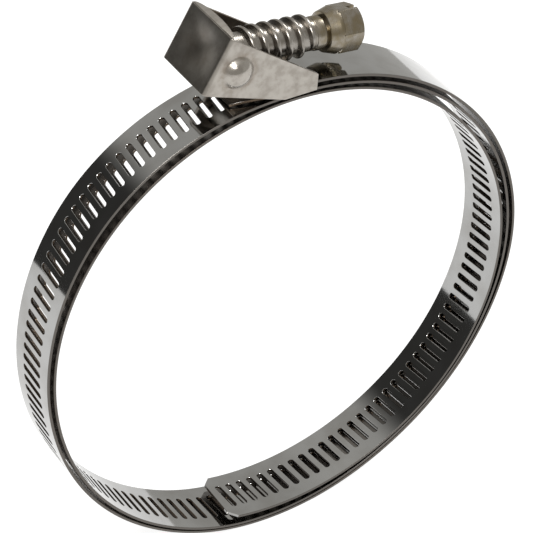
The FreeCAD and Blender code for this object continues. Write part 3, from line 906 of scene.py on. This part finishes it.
    def _lip(self, bm: bmesh.types.BMesh) -> None:
        """Adds the half-moon lip that folds in from the top of the web."""
        disc = bmesh.ops.create_circle(bm, cap_ends=True, segments=48, radius=1)["verts"]
        bmesh.ops.scale(bm, verts=disc, vec=(self.lip_depth - self.sheet / 3,
                                             self.lip_reach, 1))
        faces = list({face for vertex in disc for face in vertex.link_faces})
        back = [vertex for vertex in disc if vertex.co.x < -1e-4]
        for vertex in back:
            vertex.co.x = 0.0
        made = bmesh.ops.extrude_face_region(bm, geom=faces)["geom"]
        top = [item for item in made if isinstance(item, bmesh.types.BMVert)]
        bmesh.ops.translate(bm, verts=top, vec=(0, 0, self.sheet * 0.98))
        bmesh.ops.translate(bm, verts=disc + top,
                            vec=(self.brow[0] + self.sheet / 3, 0,
                                 self.brow[1] - self.sheet))

    def _strap(self, bm: bmesh.types.BMesh) -> None:
        """Adds the two halves of the strap that wraps under the tongue."""
        low, high = self.strap_radii
        start, end = (math.radians(angle) for angle in self.strap_angles)
        for side in (-1, 1):
            plate = bmesh.ops.create_grid(bm, x_segments=1, y_segments=1, size=0.5)["verts"]
            width = self.half_width - self.strap_play - self.strap_seam
            bmesh.ops.rotate(bm, verts=plate, cent=(0, 0, 0),
                             matrix=Matrix.Rotation(math.pi / 2, 3, "X"))
            bmesh.ops.rotate(bm, verts=plate, cent=(0, 0, 0),
                             matrix=Matrix.Rotation(math.pi / 2, 3, "Z"))
            bmesh.ops.scale(bm, verts=plate, vec=(1, width, high - low))
            middle = side * (self.strap_seam + width / 2)
            bmesh.ops.translate(bm, verts=plate, vec=(0, middle, (low + high) / 2))
            bmesh.ops.rotate(bm, verts=plate, cent=(0, 0, 0),
                             matrix=Matrix.Rotation(math.pi / 2 - start, 3, "Y"))
            faces = [face for face in bm.faces if all(v in plate for v in face.verts)]
            bmesh.ops.spin(bm, geom=plate + faces, cent=(0, 0, 0), axis=(0, -1, 0),
                           angle=end - start, steps=6, use_duplicate=False)

    def build(self) -> bpy.types.Object:
        """Builds the housing.

        Returns:
            The folded housing.
        """
        bm = self._folded_sheet()
        shade(bm, 60.0)
        holder = new_object(settled(bm, "folded"), "folded")
        wall = holder.modifiers.new("Wall", "SOLIDIFY")
        wall.thickness = self.sheet
        wall.offset = -1.0
        wall.use_even_offset = True
        rim = holder.modifiers.new("Rim", "BEVEL")
        rim.width = self.rim
        rim.segments = 2
        rim.limit_method = "ANGLE"
        rim.angle_limit = math.radians(55)
        thick = modified(holder)
        bm = bmesh.new()
        self._lip(bm)
        self._strap(bm)
        bmesh.ops.recalc_face_normals(bm, faces=bm.faces)
        soften(bm, self.lip_rim, 50.0, 2)
        bm.from_mesh(thick)
        shade(bm, 42.0)
        mesh = settled(bm, "folded_housing")
        mesh.transform(Matrix.Scale(MM, 4))
        return new_object(mesh, "folded_housing")

    def dress(self, piece: bpy.types.Object) -> None:
        """Gives the housing its finish."""
        hand_over(piece, Finish.SHEET, Place("ring", ("housing",), "housing_steel"))


# ------------------------------------------------------------------ the worm screw

@dataclass
class WormScrew:
    """The screw: riveted tail, worm thread, neck, collar and slotted hexagon head."""

    pivot: tuple[float, float] = PIVOT
    lean: float = LEAN
    pitch: float = 2.494
    thread_radius: float = 3.95
    root_radius: float = 3.05
    thread_start: float = 4.0
    thread_end: float = 19.5
    thread_steps: int = 64
    neck_radius: float = 3.2
    neck_end: float = 21.35
    groove_radius: float = 3.0
    groove_width: float = 0.45
    nose_radius: float = 3.85
    collar_radius: float = 4.45
    collar_cone: float = 2.0
    collar_length: float = 2.8
    hex_flats: float = 8.0
    hex_length: float = 4.25
    hex_chamfer: float = 0.7
    hex_turn: float = 16.0
    hex_rim: float = 0.1
    slot_width: float = 1.2
    slot_depth: float = 1.9
    shoulder: float = 2.4
    journal_radius: float = 1.8
    washer_sheet: float = 0.6
    rivet_radius: float = 2.3
    rivet_height: float = 0.15
    sides: int = 96

    @property
    def collar_end(self) -> float:
        """Where the collar meets the hexagon."""
        return self.neck_end + self.groove_width + self.collar_length

    @property
    def head_end(self) -> float:
        """Where the screw's head ends."""
        return self.collar_end + self.hex_length

    def _shank_outline(self) -> list[tuple[float, float]]:
        """Returns the turned outline below the hexagon: radius, then height."""
        washer_end = -self.shoulder - self.washer_sheet
        tail = washer_end - self.rivet_height
        nose = self.neck_end + self.groove_width
        return [
            (0, tail), (self.rivet_radius * 0.7, tail),
            (self.rivet_radius * 0.93, tail + self.rivet_height * 0.15),
            (self.rivet_radius, tail + self.rivet_height * 0.5),
            (self.rivet_radius, washer_end), (self.journal_radius, washer_end),
            (self.journal_radius, self.shoulder), (self.root_radius - 0.15, self.shoulder),
            (self.root_radius, self.shoulder + 0.15),
            (self.root_radius, self.thread_end - 0.1),
            (self.root_radius + 0.09, self.thread_end),
            (self.neck_radius - 0.07, self.thread_end + 0.15),
            (self.neck_radius, self.thread_end + 0.35),
            (self.neck_radius, self.neck_end - 0.12),
            (self.neck_radius - 0.1, self.neck_end),
            (self.groove_radius, self.neck_end), (self.groove_radius, nose),
            (self.nose_radius - 0.12, nose), (self.nose_radius, nose + 0.1),
            (self.collar_radius - 0.08, nose + self.collar_cone - 0.12),
            (self.collar_radius, nose + self.collar_cone + 0.12),
            (self.collar_radius, self.collar_end - 0.18),
            (self.collar_radius - 0.16, self.collar_end), (0, self.collar_end),
        ]

    def _turn(self, bm: bmesh.types.BMesh, outline: list[tuple[float, float]]) -> None:
        """Spins an outline about the screw's axis into a closed solid."""
        chain = [bm.verts.new((radius, 0, height)) for radius, height in outline]
        edges = [bm.edges.new(pair) for pair in zip(chain, chain[1:])]
        bmesh.ops.spin(bm, geom=chain + edges, cent=(0, 0, 0), axis=(0, 0, 1),
                       angle=math.tau, steps=self.sides, use_merge=True)

    def _thread(self, bm: bmesh.types.BMesh) -> None:
        """Adds the worm's thread, which runs out gently at both ends."""
        root = self.root_radius - 0.08
        flank = [(root, 0.74), (self.root_radius + 0.1, 0.62), (3.55, 0.47), (3.84, 0.35),
                 (self.thread_radius, 0.16)]
        ridge = [(radius, -height) for radius, height in flank] + flank[::-1]
        turns = (self.thread_end - self.thread_start - self.pitch / 3) / self.pitch
        steps = round(turns * self.thread_steps)
        chain = [bm.verts.new((radius, 0, self.thread_start + height))
                 for radius, height in ridge]
        edges = [bm.edges.new(pair) for pair in zip(chain, chain[1:])]
        self._lay_ridge(chain, ridge, 0.0, turns)
        for step in range(1, steps + 1):
            made = bmesh.ops.extrude_edge_only(bm, edges=edges)["geom"]
            edges = [item for item in made if isinstance(item, bmesh.types.BMEdge)]
            chain = [item for item in made if isinstance(item, bmesh.types.BMVert)]
            self._lay_ridge(chain, ridge, turns * step / steps, turns)

    def _lay_ridge(self, chain: list[bmesh.types.BMVert],
                   ridge: list[tuple[float, float]], turned: float, turns: float) -> None:
        """Sets one cross-section of the thread on its helix.

        Args:
            chain: The section's vertices, in the ridge's order.
            ridge: The ridge's radii and heights.
            turned: How many turns the thread has made so far.
            turns: How many turns it makes in all.
        """
        rise = smooth_step(0.0, 0.22, turned) * smooth_step(0.0, 0.18, turns - turned)
        angle = math.tau * turned
        for vertex, (radius, height) in zip(chain, ridge):
            out = ridge[0][0] + (radius - ridge[0][0]) * (0.05 + 0.95 * rise)
            spread = height * (0.55 + 0.45 * rise)
            vertex.co = (out * math.cos(angle), out * math.sin(angle),
                         self.thread_start + self.pitch * turned + spread)

    def _hexagon(self) -> bpy.types.Mesh:
        """Makes the hexagon with its chamfered end, and cuts the driver slot in it."""
        bm = bmesh.new()
        corner = self.hex_flats / 2 / math.cos(math.pi / 6)
        slope = [(corner - self.hex_chamfer * share,
                  self.head_end - self.hex_chamfer * 0.7 * (1 - share))
                 for share in (0.0, 0.2, 0.4, 0.6, 0.8, 1.0)]
        start = self.collar_end - 0.3
        self._turn(bm, [(0, start), (corner, start), (corner, self.collar_end + 1.5)]
                   + slope + [(0, self.head_end)])
        for vertex in bm.verts:
            angle = math.atan2(vertex.co.y, vertex.co.x)
            off = (angle + math.pi / 6) % (math.pi / 3) - math.pi / 6
            flat = self.hex_flats / 2 / math.cos(math.pi / 6 - abs(off))
            radius = math.hypot(vertex.co.x, vertex.co.y)
            if radius > flat:
                vertex.co.x *= flat / radius
                vertex.co.y *= flat / radius
        bmesh.ops.rotate(bm, verts=bm.verts, cent=(0, 0, 0),
                         matrix=Matrix.Rotation(math.radians(self.hex_turn), 3, "Z"))
        close_up(bm)
        head = new_object(settled(bm, "hexagon"), "hexagon")
        cutter = self._slot_cutter()
        cut = head.modifiers.new("Slot", "BOOLEAN")
        cut.operation = "DIFFERENCE"
        cut.solver = "EXACT"
        cut.object = cutter
        slotted = modified(head)
        bpy.data.objects.remove(cutter)
        bm = bmesh.new()
        bm.from_mesh(slotted)
        close_up(bm, 1e-3)
        soften(bm, self.hex_rim, 40.0, 2)
        return settled(bm, "slotted_hexagon")

    def _slot_cutter(self) -> bpy.types.Object:
        """Makes the block that cuts the driver slot."""
        bm = bmesh.new()
        made = bmesh.ops.create_cube(bm, size=1.0)["verts"]
        bmesh.ops.scale(bm, verts=made, vec=(self.hex_flats * 2, self.slot_width,
                                             self.slot_depth * 2))
        bmesh.ops.translate(bm, verts=made, vec=(0, 0, self.head_end))
        return new_object(settled(bm, "slot_cutter"), "slot_cutter")

    def _stand(self) -> Matrix:
        """Returns the move from the screw's upright place to its place in the clamp."""
        return (Matrix.Scale(MM, 4)
                @ Matrix.Translation(Vector((self.pivot[0], 0, self.pivot[1])))
                @ Matrix.Rotation(math.radians(90 + self.lean), 4, "Y"))

    def build(self) -> bpy.types.Object:
        """Builds the screw.

        Returns:
            The worm screw.
        """
        bm = bmesh.new()
        self._turn(bm, self._shank_outline())
        close_up(bm)
        ridge = bmesh.new()
        self._thread(ridge)
        ends = [edge for edge in ridge.edges if edge.is_boundary]
        bmesh.ops.holes_fill(ridge, edges=ends, sides=24)
        bmesh.ops.recalc_face_normals(ridge, faces=ridge.faces)
        bm.from_mesh(settled(ridge, "ridge"))
        bm.from_mesh(self._hexagon())
        shade(bm, 33.0)
        mesh = settled(bm, "worm_screw_turned")
        mesh.transform(self._stand())
        return new_object(mesh, "worm_screw_turned")

    def dress(self, piece: bpy.types.Object) -> None:
        """Gives the screw its finish."""
        hand_over(piece, Finish.SCREW, Place("screw", ("worm_screw",), "screw_steel"))


# ------------------------------------------------------------------ small held pieces

@dataclass
class HeldPiece:
    """A small piece taken from the frame with its edges softened."""

    node: str
    name: str
    place: Place
    rim: float = 0.12

    def build(self, nodes: dict[str, bpy.types.Object]) -> bpy.types.Object:
        """Builds the piece from its frame node.

        Args:
            nodes: The frame's nodes.

        Returns:
            The piece with softened edges.
        """
        bm = bmesh.new()
        bm.from_mesh(nodes[self.node].data)
        bmesh.ops.scale(bm, verts=bm.verts, vec=(1000, 1000, 1000))
        bmesh.ops.remove_doubles(bm, verts=bm.verts, dist=1e-3)
        bmesh.ops.dissolve_limit(bm, angle_limit=math.radians(1.0), verts=bm.verts,
                                 edges=bm.edges)
        soften(bm, self.rim, 50.0, 2)
        shade(bm, 40.0)
        mesh = settled(bm, self.name)
        mesh.transform(Matrix.Scale(MM, 4))
        return new_object(mesh, self.name)

    def dress(self, piece: bpy.types.Object) -> None:
        """Gives the piece its finish."""
        hand_over(piece, Finish.BLOCK, self.place)


# ------------------------------------------------------------------ the studio

@dataclass
class Studio:
    """The pale floor, the soft light and the camera."""

    floor_height: float = -52.45
    floor_reach: float = 3.0
    floor_back: float = 0.33
    target: tuple[float, float, float] = (-0.00127, 0.0, 0.00751)
    azimuth: float = -30.72
    elevation: float = 38.66
    distance: float = 0.5131
    lens: float = 181.16
    floor_glow: float = 0.83
    wall_light: float = 0.60
    ceiling_light: float = 0.4
    corner_shade: float = 0.90

    def add_floor(self) -> None:
        """Adds the pale floor."""
        bm = bmesh.new()
        bmesh.ops.create_grid(bm, x_segments=1, y_segments=1, size=self.floor_reach)
        mesh = settled(bm, "floor")
        back = self.floor_back - self.floor_reach
        mesh.transform(Matrix.Translation((0, back, self.floor_height * MM)))
        material = bpy.data.materials.new("pale_floor")
        material.use_nodes = True
        bench = ShaderBench(material.node_tree)
        shader = bench.node("ShaderNodeBsdfPrincipled", sockets={
            "Base Color": (0.3, 0.3, 0.3, 1.0), "Roughness": 0.9,
            "Specular IOR Level": 0.0,
            "Emission Color": (1.0, 1.0, 1.0, 1.0), "Emission Strength": self.floor_glow})
        bench.node("ShaderNodeOutputMaterial", sockets={"Surface": shader})
        mesh.materials.append(material)
        new_object(mesh, "floor")

    def add_room(self) -> None:
        """Lights the room: grey walls, dark at the back left, and a bright ceiling."""
        world = bpy.data.worlds.new("room")
        world.use_nodes = True
        bpy.context.scene.world = world
        bench = ShaderBench(world.node_tree)
        way = bench.node("ShaderNodeTexCoord", output="Generated")
        x, y, z = bench.axes(way)
        corner = x.ramp(-0.29, -0.50) * y.ramp(0.0, 0.3)
        ceiling = z.ramp(0.72, 0.95)
        level = (self.wall_light + ceiling * self.ceiling_light) \
            * (1 - corner * self.corner_shade)
        light = bench.node("ShaderNodeBackground", sockets={
            "Color": bench.mix(level, (0, 0, 0, 1), (1, 0.985, 0.94, 1)), "Strength": 1.0})
        bench.node("ShaderNodeOutputWorld", sockets={"Surface": light})

    def add_lamp(self, name: str, place: tuple[float, float, float], size: float,
                 power: float) -> None:
        """Adds a soft square lamp that faces the clamp.

        Args:
            name: The lamp's name.
            place: Where it stands, in metres.
            size: The length of its side.
            power: Its power in watts.
        """
        data = bpy.data.lights.new(name, "AREA")
        data.shape = "SQUARE"
        data.size = size
        data.energy = power
        lamp = bpy.data.objects.new(name, data)
        lamp.location = place
        facing = Vector(self.target) - lamp.location
        lamp.rotation_euler = facing.to_track_quat("-Z", "Y").to_euler()
        bpy.context.scene.collection.objects.link(lamp)

    def add_camera(self) -> None:
        """Adds the camera and looks through it."""
        data = bpy.data.cameras.new("camera")
        data.sensor_width = 36.0
        data.lens = self.lens
        data.clip_start = 0.01
        camera = bpy.data.objects.new("camera", data)
        turn, rise = math.radians(self.azimuth), math.radians(self.elevation)
        back = Vector((math.sin(turn) * math.cos(rise),
                       -math.cos(turn) * math.cos(rise), math.sin(rise)))
        camera.location = Vector(self.target) + back * self.distance
        camera.rotation_euler = (-back).to_track_quat("-Z", "Y").to_euler()
        bpy.context.scene.collection.objects.link(camera)
        bpy.context.scene.camera = camera

    def build(self) -> None:
        """Builds the whole studio."""
        self.add_floor()
        self.add_room()
        self.add_lamp("key_lamp", (-0.35, -0.75, 1.0), 0.35, 9.0)
        self.add_lamp("rim_lamp", (0.9, 0.3, 0.9), 0.4, 6.0)
        self.add_camera()
        bpy.context.scene.view_settings.view_transform = "Standard"


def main() -> None:
    """Builds the clamp's looks and reports each piece."""
    logging.basicConfig(level=logging.INFO, format="%(name)s: %(message)s")
    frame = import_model()
    for sub_assembly in (WoundBand(), FoldedHousing(), WormScrew()):
        sub_assembly.dress(sub_assembly.build())
    for held in (HeldPiece("swivel_block", "swivel_block_soft",
                           Place("swivel", ("swivel_block",), "block_steel")),
                 HeldPiece("retaining_washer", "retaining_washer_soft",
                           Place("screw", ("retaining_washer",), "block_steel"), 0.06)):
        held.dress(held.build(frame["nodes"]))
    Studio().build()


if __name__ == "__main__":
    main()
